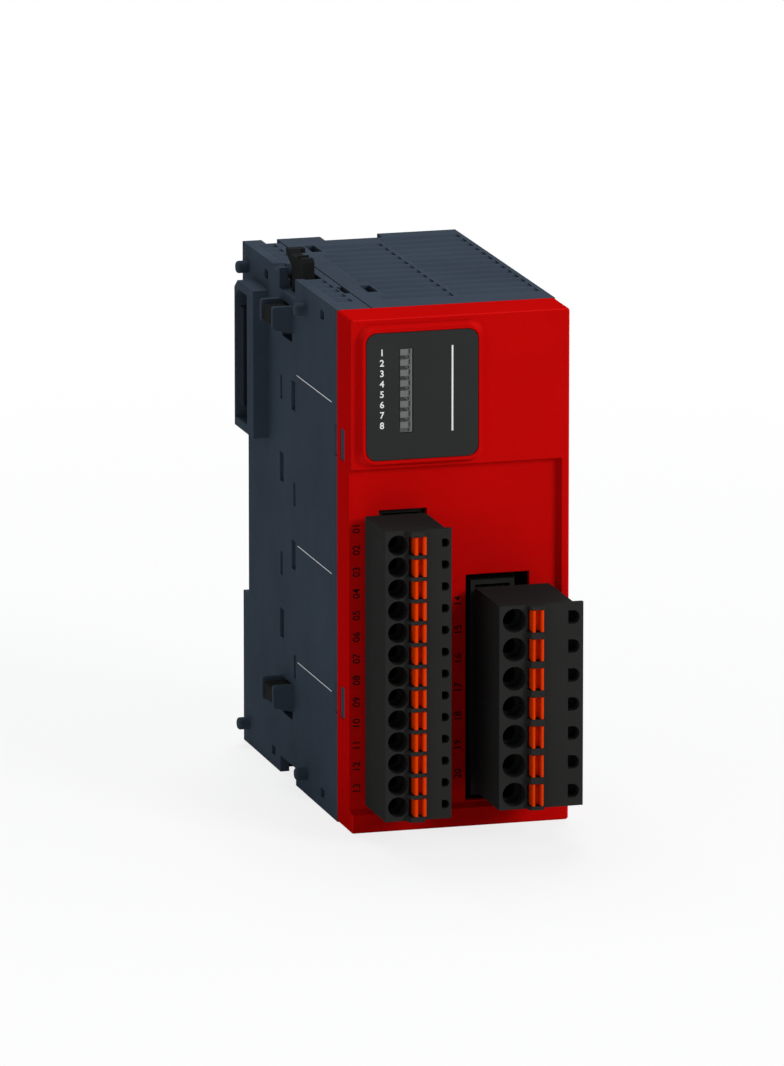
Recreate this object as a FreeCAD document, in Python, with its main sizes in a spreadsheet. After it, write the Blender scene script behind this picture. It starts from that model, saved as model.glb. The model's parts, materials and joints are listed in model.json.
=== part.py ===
import FreeCAD, Part
import os
import re
import Sketcher

# Safety relay module for a DIN rail: a blue-grey housing of two shells, a red front cover,
# two pluggable spring terminal blocks with orange release levers, and a sideways bus connection.
# Pieces are laid out in the case frame: x from the left face, y rearward from the front plane,
# z up from the base. Every node is then moved so that the origin is the centre of the rail seat.

SIZES = {
    # case
    "case_wide": 38.8,
    "case_high": 90.0,
    "case_deep": 71.2,
    "wall": 2.0,
    "seam_x": 6.0,
    "fit_gap": 0.1,
    "seam_gap": 0.25,
    # rail seat
    "rail_depth": 3.7,
    "rail_slot": 35.6,
    "rail_lip": 1.2,
    "rail_lip_thick": 2.2,
    # red front cover
    "cover_deep": 9.0,
    "cover_wall": 1.2,
    "cover_round": 0.5,
    "lap_start": 3.4,
    "recess_deep": 1.5,
    "recess_low": 3.3,
    "recess_below": 0.4,
    "recess_edge": 1.4,
    "recess_slope": 0.7,
    "latch_y": 4.4,
    "latch_deep": 2.6,
    "latch_tall": 5.6,
    "latch_drop": 25.6,
    "latch_low_z": 19.1,
    "latch_proud": 1.1,
    "relief_deep": 0.5,
    "relief_long": 2.0,
    # display
    "boss_proud": 1.5,
    "boss_x": 0.9,
    "boss_drop": 0.9,
    "boss_wide": 22.5,
    "boss_tall": 24.8,
    "boss_taper": 0.7,
    "boss_corner": 3.0,
    "boss_rim": 3.0,
    "boss_wall": 1.1,
    "label_margin": 0.55,
    "label_thick": 0.3,
    "label_corner": 1.9,
    "label_gap": 0.12,
    "lamp_x": 8.2,
    "lamp_drop": 5.12,
    "lamp_wide": 2.1,
    "lamp_pitch": 1.81,
    "lamp_rod": 1.1,
    "lamp_y": 13.2,
    "lamp_high": 1.4,
    "lamp_step": 0.5,
    "lamp_low": 0.15,
    "lamp_edge": 0.5,
    "flange_rim": 0.6,
    # left terminal plug, thirteen poles
    "fine_pitch": 3.81,
    "fine_x": 2.3,
    "fine_z": 5.2,
    "fine_wide": 10.7,
    "fine_flange": 1.0,
    "fine_end": 0.58,
    "fine_rib": 0.6,
    "fine_ridge": 0.62,
    "fine_wire": 2.4,
    "fine_contact": 2.4,
    "fine_proud": 13.2,
    "fine_hole": 3.55,
    "fine_hole_x": 2.25,
    "fine_lever_x": 4.75,
    "fine_lever_wide": 2.1,
    "fine_side_gap": 0.55,
    "fine_band_x": 3.5,
    "fine_band_wide": 3.6,
    "fine_band_slope": 0.65,
    "fine_test_x": 10.0,
    "fine_test_wide": 1.32,
    "fine_test_tall": 1.5,
    # right terminal plug, seven poles
    "wide_pitch": 5.08,
    "wide_inset": 17.0,
    "wide_z": 6.5,
    "wide_wide": 13.2,
    "wide_flange": 1.7,
    "wide_end": 0.07,
    "wide_rib": 1.1,
    "wide_ridge": 0.5,
    "wide_wire": 3.0,
    "wide_contact": 3.0,
    "wide_proud": 15.5,
    "wide_hole": 4.2,
    "wide_hole_x": 2.7,
    "wide_lever_x": 5.45,
    "wide_lever_wide": 2.0,
    "wide_side_gap": 0.4,
    "wide_band_x": 4.85,
    "wide_band_wide": 3.15,
    "wide_band_slope": 0.4,
    "wide_test_x": 12.2,
    "wide_test_wide": 2.05,
    "wide_test_tall": 2.4,
    # both plugs
    "flange_thick": 0.8,
    "sleeve_wall": 0.3,
    "rib_proud": 1.6,
    "lever_proud": 1.7,
    "lever_long": 8.5,
    "lever_travel": 1.2,
    "lever_groove": 1.6,
    "lever_round": 0.15,
    "seat_gap": 0.3,
    "plug_stand": 2.0,
    "funnel_deep": 4.0,
    "test_deep": 3.0,
    "contact_thick": 0.5,
    "cage_deep": 4.4,
    "cage_long": 3.4,
    "wire_shift": 0.2,
    # headers
    "header_front": 3.2,
    "header_deep": 8.4,
    "header_wall": 0.8,
    "header_back": 1.5,
    "header_foot": 4.5,
    "fine_header_in": 3.2,
    "fine_header_wide": 8.1,
    "fine_header_z": 5.0,
    "fine_header_tall": 51.1,
    "wide_header_in": 0.3,
    "wide_header_wide": 7.8,
    "wide_header_z": 4.7,
    "wide_header_tall": 37.9,
    "wide_open_left": 1.4,
    "wide_open_right": 2.15,
    "wide_open_low": 0.45,
    "wide_open_top": 1.5,
    "fine_pin": 0.8,
    "wide_pin": 1.0,
    "opening_gap": 0.2,
    "pin_inset": 0.8,
    # boards
    "board_thick": 1.6,
    "logic_x": 6.4,
    "power_inset": 19.3,
    "board_front": 13.0,
    "board_rear": 64.5,
    "board_gap": 0.2,
    "rib_high": 3.0,
    "guide_end": 2.0,
    "guide_thick": 1.2,
    # relays and electronics
    "relay_wide": 16.0,
    "relay_air": 1.7,
    "relay_long": 50.0,
    "relay_y": 20.5,
    "relay_z": 19.5,
    "relay_space": 1.5,
    "relay_round": 0.6,
    "can_across": 8.0,
    "can_air": 2.0,
    "can_y": 48.0,
    "can_low_z": 62.0,
    "can_top_z": 72.0,
    "chip_side": 10.0,
    "chip_high": 1.4,
    "chip_y": 30.0,
    "chip_low_z": 30.0,
    "chip_top_z": 62.0,
    "coil_side": 12.0,
    "coil_air": 2.5,
    "coil_y": 46.0,
    "coil_z": 8.0,
    "link_y": 55.0,
    "link_z": 34.0,
    "link_deep": 5.0,
    "link_tall": 16.0,
    # sideways bus
    "bus_proud": 2.9,
    "bus_y": 53.5,
    "bus_drop": 5.4,
    "bus_deep": 12.5,
    "bus_tall": 26.2,
    "bus_slope_deep": 2.1,
    "bus_slope_tall": 1.5,
    "bus_mouth_y": 57.6,
    "bus_mouth_wall": 1.5,
    "mouth_wall": 0.5,
    "carrier_y": 58.9,
    "carrier_deep": 5.7,
    "carrier_rim": 1.8,
    "tongue_thick": 2.9,
    "tongue_tall": 17.5,
    "tongue_inset": 0.1,
    "tongue_root": 0.2,
    "blade_thick": 0.3,
    "blade_wide": 0.6,
    "blade_pitch": 1.27,
    "blade_inset": 0.4,
    # studs and guards on the left face
    "stud_across": 2.2,
    "stud_long": 2.15,
    "stud_inset": 3.85,
    "stud_front_y": 29.2,
    "stud_rear_y": 67.6,
    "stud_round": 0.5,
    "stud_gap": 0.1,
    "socket_deep": 1.4,
    "guard_proud": 3.76,
    "guard_thick": 1.0,
    "guard_y": 37.3,
    "guard_down": 10.1,
    "guard_low_z": 12.6,
    "guard_tall": 5.1,
    "guard_slope": 1.2,
    "guard_round": 0.5,
    "window_deep": 6.5,
    "window_tall": 6.3,
    "window_below": 1.4,
    # lock slide
    "slide_x": 1.7,
    "slide_thick": 2.0,
    "slide_y": 38.4,
    "slide_deep": 6.2,
    "slide_low": 2.6,
    "slide_travel": 2.2,
    "slide_bevel": 1.2,
    "bridge_thick": 1.2,
    "bridge_tall": 5.0,
    "bridge_low_z": 30.0,
    "bridge_top_z": 58.0,
    "rest_side": 3.0,
    "rest_front_y": 16.0,
    "rest_rear_y": 51.0,
    "rest_inset": 8.0,
    "hook_long": 3.55,
    "hook_tall": 2.65,
    "hook_up": 1.7,
    "hook_gap": 1.0,
    "thumb_high": 3.2,
    "thumb_front": 37.0,
    "thumb_rear": 48.4,
    "thumb_root": 0.6,
    "thumb_thick": 0.8,
    "thumb_dip": 0.6,
    "thumb_ridge": 1.8,
    "thumb_slope": 0.9,
    "thumb_wing": 1.0,
    "thumb_bump_y": 3.6,
    "thumb_bump": 0.5,
    "slot_wide": 3.0,
    "slot_front": 35.4,
    "slot_rear": 49.6,
    "notch_front": 36.2,
    "notch_rear": 46.5,
    "notch_deep": 3.6,
    "trough_y": 48.9,
    "trough_across": 4.2,
    "trough_deep": 0.8,
    "base_notch": 3.0,
    # rail clip
    "clip_x": 14.0,
    "clip_wide": 12.0,
    "clip_thick": 2.7,
    "clip_low": 0.6,
    "clip_nose": 1.1,
    "clip_lip": 1.2,
    "clip_lip_thick": 1.2,
    "clip_back": 2.0,
    "clip_relief": 0.3,
    "clip_nose_root": 3.0,
    "clip_eye": 4.0,
    "lip_wide": 24.0,
    "lip_relief": 0.4,
    # top louvres
    "louvre_pitch": 4.06,
    "louvre_first": 18.6,
    "louvre_run": 3.1,
    "louvre_deep": 1.1,
    "louvre_x": 10.0,
    "louvre_side": 0.4,
    "louvre_right": 0.9,
    "louvre_rib": 0.8,
    "louvre_rib_x": 22.65,
    "left_louvre_x": 1.65,
    "left_louvre_end": 4.65,
    "seam_vent_wide": 1.0,
    "step_run": 3.4,
    "step_deep": 0.7,
    "left_step_x": 3.4,
    "step_x": 14.1,
    "step_wide": 10.4,
    "vent_wide": 1.8,
    "vent_long": 5.7,
    "vent_x": 9.2,
    "vent_front_y": 22.3,
    "vent_rear_y": 58.4,
    # side slots
    "slit_wide": 1.4,
    "slit_tall": 4.2,
    "slot_broad": 2.6,
    "slot_tall": 5.2,
    "pocket_near_y": 36.2,
    "broad_far_y": 44.0,
    "thin_far_y": 44.8,
    "broad_top_drop": 23.4,
    "broad_high_drop": 37.6,
    "broad_mid_z": 38.3,
    "broad_low_z": 24.4,
    "thin_top_drop": 23.0,
    "thin_high_drop": 40.3,
    "thin_mid_z": 35.6,
    "thin_low_z": 19.0,
    "mark_wide": 2.4,
    "mark_tall": 1.6,
    "mark_inset": 2.0,
    "mark_front_y": 17.5,
    "mark_up_y": 54.0,
    "mark_down_y": 49.8,
}

FINE_POLE_COUNT = 13
WIDE_POLE_COUNT = 7
LAMP_COUNT = 8
LOUVRE_COUNT = 13
BLADE_COUNT = 12

doc = FreeCAD.newDocument("SafetyRelay")
sheet = doc.addObject("Spreadsheet::Sheet", "Dims")
for row, (word, value) in enumerate(SIZES.items(), start=1):
    sheet.set("A%d" % row, word)
    sheet.set("B%d" % row, str(value))
    sheet.setAlias("B%d" % row, word)
doc.recompute()

# How near to a plane or a line an edge must be to count as lying on it
SLACK = 1e-6
# How far a cutting block runs past what it cuts
OVER = "1"

WORDS = re.compile(r"[a-z_]+")
NODES = []
made = {}


def bound(text):
    """The expression with each named size read from the sheet."""
    return WORDS.sub(lambda hit: "Dims." + hit.group(0), text)


def number(text):
    """The value of an expression at the present sizes."""
    total = FreeCAD.Units.Quantity(WORDS.sub(lambda hit: "(%s)" % SIZES[hit.group(0)], text))
    return float(total)


def unused(name):
    """A name that no object has yet."""
    made[name] = made.get(name, 0) + 1
    return name if made[name] == 1 else "%s_%d" % (name, made[name])


def bind(piece, **sizes):
    """Ties properties of a piece to expressions of the named sizes."""
    for prop, text in sizes.items():
        piece.setExpression(prop.replace("__", "."), bound(text))
    return piece


def put(piece, x, y, z):
    """Places a piece at a corner given by three expressions."""
    return bind(piece, Placement__Base__x=x, Placement__Base__y=y, Placement__Base__z=z)


def block(name, x, y, z, wide, deep, tall):
    """A rectangular block from its low corner and its sizes along x, y and z."""
    piece = doc.addObject("Part::Box", unused(name))
    bind(piece, Length=wide, Width=deep, Height=tall)
    return put(piece, x, y, z)


TURNS = {
    "x": FreeCAD.Rotation(FreeCAD.Vector(0, 1, 0), 90),
    "y": FreeCAD.Rotation(FreeCAD.Vector(1, 0, 0), -90),
    "z": FreeCAD.Rotation(),
}


def rod(name, axis, x, y, z, across, long):
    """A round rod that runs from its start along +x, +y or +z."""
    piece = doc.addObject("Part::Cylinder", unused(name))
    piece.Placement = FreeCAD.Placement(FreeCAD.Vector(), TURNS[axis])
    bind(piece, Radius="(%s) / 2" % across, Height=long)
    return put(piece, x, y, z)


def half_rod(name, x, y, z, across, long):
    """The right half of a round rod that runs from its start along +y."""
    piece = rod(name, "y", x, y, z, across, long)
    piece.Angle = 180
    quarter = FreeCAD.Rotation(FreeCAD.Vector(0, 0, 1), -90)
    piece.Placement = FreeCAD.Placement(piece.Placement.Base, TURNS["y"].multiply(quarter))
    return piece


PLANES = {"side": ("YZ_Plane", "x"), "front": ("XZ_Plane", "y"), "top": ("XY_Plane", "z")}


def outline(body, name, view, points):
    """A closed sketch through points given as expressions, seen from the side (y, z), the front (x, z)
    or the top (x, y), with each corner held at its two expressions."""
    sketch = body.newObject("Sketcher::SketchObject", unused(name))
    role = PLANES[view][0]
    plane = [item for item in body.Origin.OriginFeatures if item.Role == role][0]
    sketch.AttachmentSupport = [(plane, "")]
    sketch.MapMode = "FlatFace"
    spots = [FreeCAD.Vector(number(a), number(b), 0) for a, b in points]
    for start, end in zip(spots, spots[1:] + spots[:1]):
        sketch.addGeometry(Part.LineSegment(start, end))
    for i, point in enumerate(points):
        after = (i + 1) % len(points)
        sketch.addConstraint(Sketcher.Constraint("Coincident", i, 2, after, 1))
        for kind, text in zip(("DistanceX", "DistanceY"), point):
            at = sketch.addConstraint(Sketcher.Constraint(kind, -1, 1, i, 1, number(text)))
            sketch.setExpression("Constraints[%d]" % at, bound(text))
    return sketch


def extrude(name, view, points, start, long):
    """A body made by padding an outline along x (side), y (front) or z (top) from a start."""
    body = doc.addObject("PartDesign::Body", unused(name))
    pad = body.newObject("PartDesign::Pad", unused(name + "_pad"))
    pad.Profile = outline(body, name + "_sketch", view, points)
    pad.Reversed = view == "front"
    bind(pad, Length=long)
    return bind(body, **{"Placement__Base__" + PLANES[view][1]: start})


def wedge(name, x, y, z, wide, deep, tall, left, right, low, high):
    """A block whose rear face is drawn in on its left, right, lower and upper sides."""
    piece = doc.addObject("Part::Wedge", unused(name))
    bind(piece, Xmin="0", Xmax=wide, Ymin="0", Ymax=deep, Zmin="0", Zmax=tall)
    bind(piece, X2min=left, X2max="(%s) - (%s)" % (wide, right))
    bind(piece, Z2min=low, Z2max="(%s) - (%s)" % (tall, high))
    return put(piece, x, y, z)


def joined(name, pieces):
    """One solid from pieces that overlap or touch."""
    if len(pieces) == 1:
        return pieces[0]
    fuse = doc.addObject("Part::MultiFuse", unused(name))
    fuse.Shapes = pieces
    fuse.Refine = True
    return fuse


def group(name, pieces):
    """Separate solids, or tools that stay apart, held as one object."""
    held = doc.addObject("Part::Compound", unused(name))
    held.Links = pieces
    return held


def less(name, base, tools):
    """A piece with others cut away."""
    cut = doc.addObject("Part::Cut", unused(name))
    cut.Base = base
    cut.Tool = tools[0] if len(tools) == 1 else joined(name + "_tools", tools)
    return cut


def softened(name, base, radius, chosen):
    """A piece with the edges rounded that a test picks out."""
    doc.recompute()
    fillet = doc.addObject("Part::Fillet", unused(name))
    fillet.Base = base
    size = number(radius)
    edges = [i for i, edge in enumerate(base.Shape.Edges, start=1) if chosen(edge)]
    fillet.Edges = [(i, size, size) for i in edges]
    return fillet


def node(name, piece):
    """Names a finished piece and moves it from the case frame to the rail seat's frame."""
    held = group(name, [piece])
    held.Label = name
    NODES.append(held)
    return put(held, "-case_wide / 2", "rail_depth - case_deep", "-case_high / 2")


# Places that several pieces share

RAIL_Y = "(case_deep - rail_depth)"
RAIL_LOW = "(case_high / 2 - rail_slot / 2)"
RAIL_TOP = "(case_high / 2 + rail_slot / 2)"
COVER_EDGE = "(cover_deep + fit_gap)"
LAP_X = "(cover_wall + fit_gap)"
LOGIC_FACE = "(logic_x + board_thick)"
POWER_X = "(case_wide - power_inset)"
POWER_FACE = "(%s + board_thick)" % POWER_X
BETWEEN_BOARDS = "(%s - %s)" % (POWER_X, LOGIC_FACE)
FINE_X = "fine_x"
WIDE_X = "(case_wide - wide_inset)"
FINE_HEADER_X = "(%s + fine_header_in)" % FINE_X
WIDE_HEADER_X = "(%s + wide_header_in)" % WIDE_X
BUS_REAR = "(bus_y + bus_deep)"
BUS_TOP = "(case_high - bus_drop)"
BUS_Z = "(%s - bus_tall)" % BUS_TOP
BUS_MIDDLE = "(%s - bus_tall / 2)" % BUS_TOP
CARRIER_TALL = "(tongue_tall + 2 * carrier_rim)"
CARRIER_Z = "(%s - %s / 2)" % (BUS_MIDDLE, CARRIER_TALL)
TONGUE_Y = "(carrier_y + (carrier_deep - tongue_thick) / 2)"
TONGUE_Z = "(%s - tongue_tall / 2)" % BUS_MIDDLE
GUIDE_Y = "(header_front + header_deep + header_foot + wide_pin + fit_gap)"
HOOK_WINDOW_Y = "(guard_y + guard_thick)"
GUARD_PLACES = ("(case_high - guard_down)", "guard_low_z")
LATCH_PLACES = ("latch_low_z", "(case_high - latch_drop)")
SLIDE_REAR = "(slide_y + slide_deep)"
CLIP_Y = "(case_deep - clip_lip_thick - fit_gap - clip_thick)"


def case_profile(front, inset):
    """The case seen from the side, from a front line rearward, moved inward by an inset."""
    rear = "case_deep - %s" % inset
    seat = "%s - %s" % (RAIL_Y, inset)
    high = "case_high - %s" % inset
    slot_low = "%s - %s" % (RAIL_LOW, inset)
    slot_top = "%s + %s" % (RAIL_TOP, inset)
    return [
        (front, inset), (rear, inset), (rear, slot_low), (seat, slot_low),
        (seat, slot_top), (rear, slot_top), (rear, high), (front, high),
    ]


def lap_cuts(x, wide, side_x, side_wide):
    """What is cut from a shell's front end so that it fits inside the cover's skirt."""
    return [
        block("lap_side", side_x, "0", "-" + OVER, side_wide, COVER_EDGE, "case_high + 2 * " + OVER),
        block("lap_top", x, "0", "case_high - " + LAP_X, wide, COVER_EDGE, LAP_X + " + " + OVER),
        block("lap_base", x, "0", "-" + OVER, wide, COVER_EDGE, LAP_X + " + " + OVER),
    ]


def latch(name, x, wide):
    """The two snap tabs of a shell that show in the cover's windows."""
    return [
        block(name, x, "latch_y + fit_gap", z + " + fit_gap", wide, "latch_deep - 2 * fit_gap",
              "latch_tall - 2 * fit_gap")
        for z in LATCH_PLACES
    ]


def louvre(x, long, row):
    """One groove across the top of the case, deep at its front and flush at its rear."""
    rear_y = "louvre_first + %d * louvre_pitch" % row
    front_y = "%s - louvre_run" % rear_y
    floor_z = "case_high - louvre_deep"
    above_z = "case_high + louvre_deep"
    points = [(front_y, floor_z), (rear_y, "case_high"), (rear_y, above_z), (front_y, above_z)]
    return extrude("louvre", "side", points, x, long)


def crosses(row, front, rear):
    """Whether a louvre reaches between two places in y."""
    rear_y = number("louvre_first + %d * louvre_pitch" % row)
    return rear_y > number(front) and rear_y - number("louvre_run") < number(rear)


# Left shell

def left_louvre_rows():
    """The rows of louvres that leave the lock slide's slot free."""
    front = "slot_front - fit_gap"
    rear = "slot_rear + fit_gap"
    return [row for row in range(LOUVRE_COUNT) if not crosses(row, front, rear)]


def guard(y, z):
    """A thin plate beside a hook window, higher at its root than at its tip."""
    points = [
        ("wall / 2", z),
        ("-guard_proud", z + " + guard_slope"),
        ("-guard_proud", z + " + guard_tall"),
        ("wall / 2", z + " + guard_tall"),
    ]
    plate = extrude("guard", "front", points, y, "guard_thick")
    tip = -number("guard_proud")
    return softened("guard_soft", plate, "guard_round", lambda edge: upright_at(edge, "y", tip))


def upright_at(edge, axis, x):
    """Whether an edge runs along an axis at a place in x."""
    box = edge.BoundBox
    across = {"x": box.YLength + box.ZLength, "y": box.XLength + box.ZLength, "z": box.XLength + box.YLength}
    return across[axis] < SLACK and abs(box.XMin - x) < SLACK


def stud(y, z):
    """A locating stud with a rounded tip."""
    pin = rod("stud", "x", "-stud_long", y, z, "stud_across", "stud_long + wall / 2")
    tip = -number("stud_long")
    return softened("stud_soft", pin, "stud_round", lambda edge: round_at(edge, tip))


def round_at(edge, x):
    """Whether an edge is the circle at a place in x."""
    return edge.BoundBox.XLength < SLACK and abs(edge.BoundBox.XMin - x) < SLACK


STUD_PLACES = [
    (y, z) for y in ("stud_front_y", "stud_rear_y") for z in ("stud_inset", "case_high - stud_inset")
]
BROAD_SLOTS = [
    ("pocket_near_y", "case_high - broad_top_drop"), ("broad_far_y", "case_high - broad_high_drop"),
    ("pocket_near_y", "broad_mid_z"), ("broad_far_y", "broad_low_z"),
]
THIN_SLOTS = [
    ("thin_far_y", "case_high - thin_top_drop"), ("pocket_near_y", "case_high - thin_high_drop"),
    ("thin_far_y", "thin_mid_z"), ("pocket_near_y", "thin_low_z"),
]
MARK_TOP = "case_high - mark_inset - mark_tall"
SIDE_MARKS = [
    ("mark_front_y", MARK_TOP), ("mark_up_y", MARK_TOP),
    ("mark_front_y", "mark_inset"), ("mark_down_y", "mark_inset"),
]
REST_PLACES = [
    (y, z) for y in ("rest_front_y", "rest_rear_y")
    for z in ("rest_inset", "case_high - rest_inset - rest_side")
]
BRIDGE_HEIGHTS = ["bridge_low_z", "bridge_top_z"]


def bridge(z):
    """A strap across the lock slide that holds it against the wall."""
    front = "slide_y - fit_gap - bridge_thick"
    inner = "slide_x + slide_thick + fit_gap"
    deep = "slide_deep + 2 * fit_gap + 2 * bridge_thick"
    strap = block("strap", inner, front, z, "bridge_thick", deep, "bridge_tall")
    post_long = inner + " + bridge_thick - wall / 2"
    posts = [
        block("strap_post", "wall / 2", y, z, post_long, "bridge_thick", "bridge_tall")
        for y in (front, SLIDE_REAR + " + fit_gap")
    ]
    return [strap] + posts


def left_shell():
    """The side shell with the bus inlet, the studs, the hook windows and their guards."""
    outer = extrude("left_outer", "side", case_profile("lap_start", "0"), "0", "seam_x")
    inner = extrude("left_inner", "side", case_profile("lap_start - " + OVER, "wall"), "wall", "seam_x")
    tray = less("left_tray", outer, [inner] + lap_cuts("-" + OVER, "seam_x + 2 * " + OVER, "-" + OVER,
                                                       LAP_X + " + " + OVER))
    box_points = [
        ("bus_y", BUS_Z), (BUS_REAR, BUS_Z), (BUS_REAR, BUS_TOP + " - bus_slope_tall"),
        (BUS_REAR + " - bus_slope_deep", BUS_TOP), ("bus_y", BUS_TOP),
    ]
    bus_box = extrude("bus_box", "side", box_points, "-bus_proud", "bus_proud + wall / 2")
    adds = [tray, bus_box] + latch("left_latch", "cover_wall - latch_proud", "latch_proud + wall / 2")
    adds += [guard(y, z) for y in ("guard_y", HOOK_WINDOW_Y + " + window_deep") for z in GUARD_PLACES]
    adds += [stud(y, z) for y, z in STUD_PLACES]
    for z in BRIDGE_HEIGHTS:
        adds += bridge(z)
    rest_long = "logic_x - wall / 2"
    for y, z in REST_PLACES:
        adds.append(block("board_rest", "wall / 2", y, z, rest_long, "rest_side", "rest_side"))
    solid = joined("left_solid", adds)

    mouth_rear = BUS_REAR + " - mouth_wall"
    mouth_low = BUS_Z + " + bus_mouth_wall"
    mouth_top = BUS_TOP + " - bus_mouth_wall"
    mouth_points = [
        ("bus_mouth_y", mouth_low), (mouth_rear, mouth_low), (mouth_rear, mouth_top + " - bus_slope_tall"),
        (mouth_rear + " - bus_slope_deep", mouth_top), ("bus_mouth_y", mouth_top),
    ]
    cuts = [extrude("bus_mouth", "side", mouth_points, "-bus_proud - " + OVER, "bus_proud + " + OVER)]
    cuts.append(block("carrier_window", "-" + OVER, "carrier_y - fit_gap", CARRIER_Z + " - fit_gap",
                      "wall + 2 * " + OVER, "carrier_deep + 2 * fit_gap", CARRIER_TALL + " + 2 * fit_gap"))
    for z in GUARD_PLACES:
        cuts.append(block("hook_window", "-" + OVER, HOOK_WINDOW_Y, z + " - window_below",
                          "wall + 2 * " + OVER, "window_deep", "window_tall"))
    channel_x = "slide_x - fit_gap"
    cuts.append(block("slide_channel", channel_x, "slide_y - fit_gap", "-" + OVER, "wall + fit_gap - slide_x",
                      "slide_deep + 2 * fit_gap", "case_high + 2 * " + OVER))
    for z, tall in (("-" + OVER, "base_notch + " + OVER), ("case_high - notch_deep", "notch_deep + " + OVER)):
        cuts.append(block("slide_notch", "-" + OVER, "notch_front", z, "wall + 2 * " + OVER,
                          "notch_rear - notch_front", tall))
    for z in ("-" + OVER, "case_high - wall - fit_gap"):
        cuts.append(block("slide_slot", channel_x, "slot_front", z, "slot_wide", "slot_rear - slot_front",
                          "wall + fit_gap + " + OVER))
    cuts.append(rod("trough", "x", "-" + OVER, "trough_y", "case_high + trough_across / 2 - trough_deep",
                    "trough_across", "wall + fit_gap + " + OVER))
    ramp_end = COVER_EDGE + " + relief_long"
    ramp = [("-" + OVER, COVER_EDGE), ("relief_deep", COVER_EDGE), ("0", ramp_end), ("-" + OVER, ramp_end)]
    cuts += [extrude("latch_relief", "top", ramp, z, "latch_tall") for z in LATCH_PLACES]
    for y, z in BROAD_SLOTS:
        cuts.append(block("broad_slot", "-" + OVER, y, z, "wall + 2 * " + OVER, "slot_broad", "slot_tall"))
    for y, z in THIN_SLOTS:
        cuts.append(block("thin_slot", "-" + OVER, y, z, "wall + 2 * " + OVER, "slit_wide", "slit_tall"))
    for y, z in SIDE_MARKS:
        cuts.append(block("side_mark", "-" + OVER, y, z, "wall + 2 * " + OVER, "mark_wide", "mark_tall"))
    groove_long = "left_louvre_end - left_louvre_x"
    cuts += [louvre("left_louvre_x", groove_long, row) for row in left_louvre_rows()]
    cuts.append(block("seam_vent", "seam_x - seam_vent_wide", "vent_front_y", "case_high - wall - fit_gap",
                      "seam_vent_wide + " + OVER, "vent_long", "wall + fit_gap + " + OVER))
    cuts.append(block("rear_step", "left_step_x", "case_deep - step_run", "case_high - step_deep",
                      "seam_x", "step_run + " + OVER, "step_deep + " + OVER))
    node("left_shell", less("left_shell_cut", solid, cuts))


# Main shell

def main_shell():
    """The large shell with the rail seat, the guide of the rail clip, the board guides and the louvres,
    whose last row has only its right part."""
    start = "seam_x + seam_gap"
    wide = "case_wide - seam_x - seam_gap"
    outer = extrude("main_outer", "side", case_profile("lap_start", "0"), start, wide)
    inner = extrude("main_inner", "side", case_profile("lap_start - " + OVER, "wall"), "seam_x",
                    "case_wide - wall - seam_x")
    tray = less("main_tray", outer, [inner] + lap_cuts("seam_x", "case_wide", "case_wide - " + LAP_X,
                                                       LAP_X + " + " + OVER))
    adds = [tray] + latch("main_latch", "case_wide - wall", "wall - cover_wall + latch_proud")
    guide_tall = RAIL_LOW + " - wall / 2"
    adds.append(block("clip_guide", "clip_x - fit_gap - clip_back", CLIP_Y + " - fit_gap - clip_back",
                      "wall / 2", "clip_wide + 2 * fit_gap + 2 * clip_back",
                      "clip_back + clip_thick + clip_lip", guide_tall))
    adds.append(block("rail_lip", "clip_x - clip_back", "case_deep - rail_lip_thick", RAIL_TOP + " - rail_lip",
                      "lip_wide", "rail_lip_thick", "rail_lip + wall / 2"))
    for x in (LOGIC_FACE, POWER_X + " - guide_thick", POWER_FACE):
        for z in ("wall / 2", "case_high - wall - rib_high"):
            adds.append(block("board_guide", x, GUIDE_Y, z, "guide_thick",
                              "board_rear - guide_end - " + GUIDE_Y, "rib_high + wall / 2"))
    solid = joined("main_solid", adds)

    cuts = []
    channel_tall = RAIL_LOW + " + clip_nose + fit_gap + " + OVER
    cuts.append(block("clip_channel", "clip_x - fit_gap", CLIP_Y + " - fit_gap", "-" + OVER,
                      "clip_wide + 2 * fit_gap", "clip_thick + 2 * fit_gap", channel_tall))
    cuts.append(block("clip_opening", "clip_x + clip_lip", CLIP_Y, "-" + OVER, "clip_wide - 2 * clip_lip",
                      "case_deep - " + CLIP_Y + " + " + OVER, channel_tall))
    cuts.append(block("lip_relief", "clip_x - clip_back - fit_gap", RAIL_Y + " - lip_relief",
                      RAIL_TOP + " - rail_lip - fit_gap", "lip_wide + 2 * fit_gap", "lip_relief",
                      "rail_lip + fit_gap"))
    cuts.append(block("socket_window", "case_wide - wall - " + OVER, "carrier_y - fit_gap",
                      CARRIER_Z + " - fit_gap", "wall + 2 * " + OVER, "carrier_deep + 2 * fit_gap",
                      CARRIER_TALL + " + 2 * fit_gap"))
    for y, z in STUD_PLACES:
        cuts.append(rod("stud_socket", "x", "case_wide - socket_deep", y, z, "stud_across + 2 * stud_gap",
                        "socket_deep + " + OVER))
    rib_end = "louvre_rib_x + louvre_rib"
    for row in range(LOUVRE_COUNT):
        beside = [y for y in ("vent_front_y", "vent_rear_y") if crosses(row, y, y + " + vent_long")]
        start_x = "vent_x + vent_wide + louvre_side" if beside else "louvre_x"
        if row < LOUVRE_COUNT - 1:
            cuts.append(louvre(start_x, "louvre_rib_x - (%s)" % start_x, row))
        cuts.append(louvre(rib_end, "case_wide - louvre_right - (%s)" % rib_end, row))
    for y in ("vent_front_y", "vent_rear_y"):
        cuts.append(block("vent", "vent_x", y, "case_high - wall - fit_gap", "vent_wide", "vent_long",
                          "wall + fit_gap + " + OVER))
    cuts.append(block("rear_step", "step_x", "case_deep - step_run", "case_high - step_deep",
                      "step_wide", "step_run + " + OVER, "step_deep + " + OVER))
    node("main_shell", less("main_shell_cut", solid, cuts))


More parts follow.
